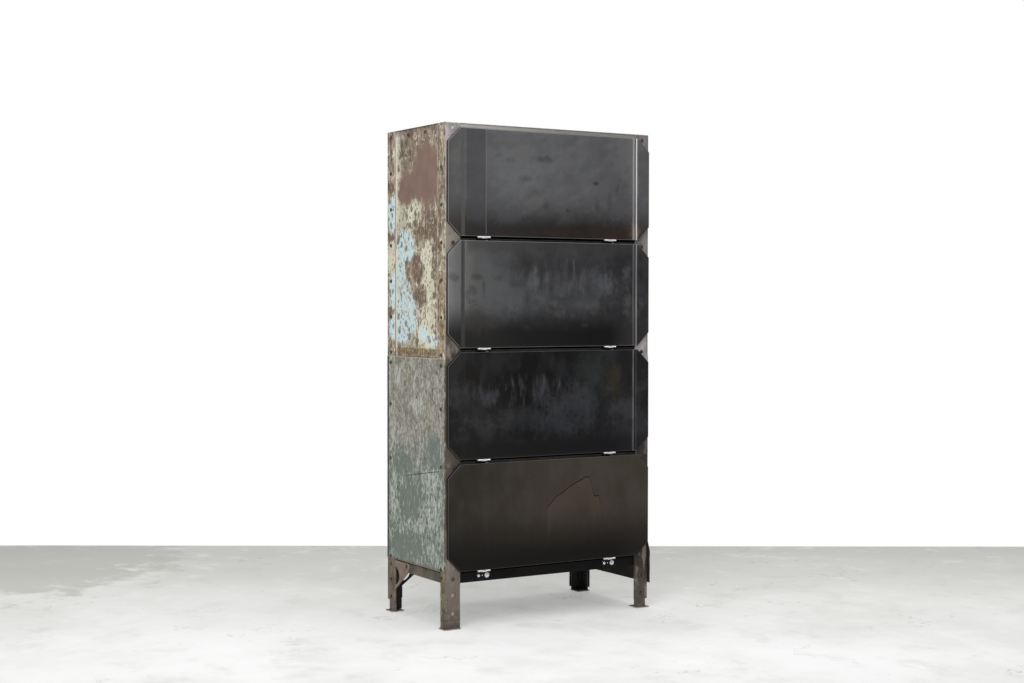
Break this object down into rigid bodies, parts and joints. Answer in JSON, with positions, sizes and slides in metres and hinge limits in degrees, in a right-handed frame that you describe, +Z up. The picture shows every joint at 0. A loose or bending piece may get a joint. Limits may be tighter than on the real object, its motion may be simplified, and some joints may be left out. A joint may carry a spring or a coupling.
{
  "type": "four-door metal cabinet",
  "caption": "Tall riveted angle-iron cabinet on four legs, with sheet-steel sides and stacked drop-front doors hinged along their lower edges.",
  "frame": {"origin": "on the floor, under the middle of the cabinet's box, feet plates to rivets and hinges", "axes": "+Z up, +X to the right as seen from the front, the doors face -Y"},
  "size_m": [0.892, 0.4715, 1.8],
  "materials": {
    "old_paint": "flaking cream, brown and pale blue paint with rust",
    "green_paint": "scratched grey-green paint with rust at the edges",
    "post_iron": "worn taupe paint on angle iron",
    "foot_iron": "bare brown-grey iron, sealed",
    "rail_iron": "satin black",
    "shelf_steel": "dark waxed sheet steel",
    "rivet_iron": "rusted brown",
    "waxed_steel": "waxed hot-rolled sheet, blue-grey, cloudy",
    "olive_steel": "waxed hot-rolled sheet, brown-olive, stained",
    "zinc": "bright zinc",
    "magnet_black": "black jacket"
  },
  "bodies": {
    "carcase": {"post_front_left": "post_iron", "post_front_right": "post_iron", "post_back_left": "post_iron", "post_back_right": "post_iron", "shoe_front_left": "foot_iron", "shoe_front_right": "foot_iron", "shoe_back_left": "foot_iron", "shoe_back_right": "foot_iron", "foot_plates": "foot_iron", "top_rail_front": "post_iron", "top_rail_back": "post_iron", "top_rail_left": "post_iron", "top_rail_right": "post_iron", "front_rail_upper": "rail_iron", "front_rail_middle": "rail_iron", "front_rail_lower": "rail_iron", "front_rail_bottom": "rail_iron", "side_rails_left": "foot_iron", "side_rails_right": "foot_iron", "back_rails": "foot_iron", "top_sheet": "post_iron", "shelf_upper": "shelf_steel", "shelf_middle": "shelf_steel", "shelf_lower": "shelf_steel", "floor_sheet": "shelf_steel", "side_sheet_upper_left": "old_paint", "side_sheet_upper_right": "old_paint", "side_sheet_lower_left": "green_paint", "side_sheet_lower_right": "green_paint", "back_sheet_upper": "old_paint", "back_sheet_lower": "green_paint", "knee_gussets": "post_iron", "rivets_front": "rivet_iron", "rivets_left": "rivet_iron", "rivets_right": "rivet_iron", "rivets_back": "rivet_iron", "hinge_brackets": "rail_iron", "hinge_pins": "zinc", "hinge_bolts": "zinc", "magnets": "magnet_black", "stay_guides": "rail_iron", "guide_rivets": "rail_iron"},
    "door_top": {"door_top": "waxed_steel", "hinge_leaves_top": "zinc", "stays_top": "rail_iron", "door_rivets_top": "zinc"},
    "door_upper": {"door_upper": "waxed_steel", "hinge_leaves_upper": "zinc", "stays_upper": "rail_iron", "door_rivets_upper": "zinc"},
    "door_lower": {"door_lower": "waxed_steel", "hinge_leaves_lower": "zinc", "stays_lower": "rail_iron", "door_rivets_lower": "zinc"},
    "door_bottom": {"door_bottom": "olive_steel", "hinge_leaves_bottom": "zinc", "stays_bottom": "rail_iron", "door_rivets_bottom": "zinc"}
  },
  "joints": [
    {"name": "top_door_hinge", "type": "hinge", "parent": "carcase", "child": "door_top", "pos_m": [0, -0.23225, 1.396], "axis": [1, 0, 0], "range_deg": [0, 90]},
    {"name": "upper_door_hinge", "type": "hinge", "parent": "carcase", "child": "door_upper", "pos_m": [0, -0.23225, 0.998], "axis": [1, 0, 0], "range_deg": [0, 90]},
    {"name": "lower_door_hinge", "type": "hinge", "parent": "carcase", "child": "door_lower", "pos_m": [0, -0.23225, 0.6], "axis": [1, 0, 0], "range_deg": [0, 90]},
    {"name": "bottom_door_hinge", "type": "hinge", "parent": "carcase", "child": "door_bottom", "pos_m": [0, -0.23225, 0.202], "axis": [1, 0, 0], "range_deg": [0, 90]}
  ]
}
